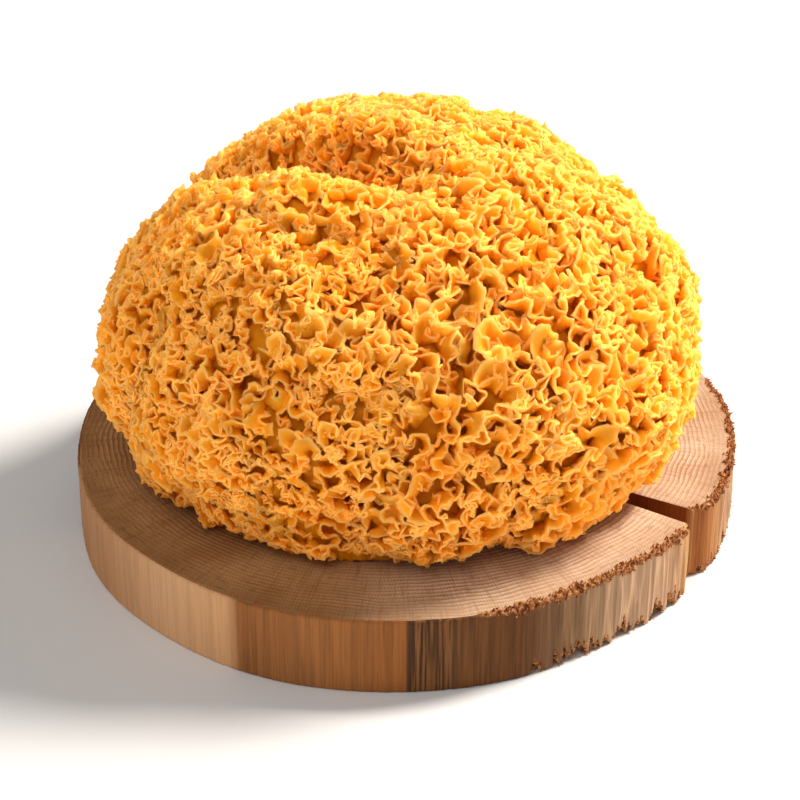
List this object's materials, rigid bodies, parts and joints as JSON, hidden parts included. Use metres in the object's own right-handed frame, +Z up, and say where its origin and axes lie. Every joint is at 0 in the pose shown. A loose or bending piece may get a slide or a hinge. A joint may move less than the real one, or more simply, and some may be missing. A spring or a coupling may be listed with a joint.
{
  "type": "snow fungus",
  "caption": "Golden dome-shaped head of ruffled edible fungus standing on a round sawn slice of barkless log with a radial drying split.",
  "frame": {"origin": "middle of the log slice's sawn underside, which is the bottom centre of the whole part", "axes": "+Z up through the slice and the head, -Y towards the front, where the split opens to the right"},
  "size_m": [0.1692, 0.171, 0.1085],
  "materials": {
    "sawn_wood": "bare sawn end grain, dry and matt, with split fibres round the rim",
    "fungus_flesh": "moist translucent fronds, golden with paler edges"
  },
  "bodies": {
    "root": {"log_slice": "sawn_wood", "fungus_head": "fungus_flesh"}
  },
  "joints": []
}
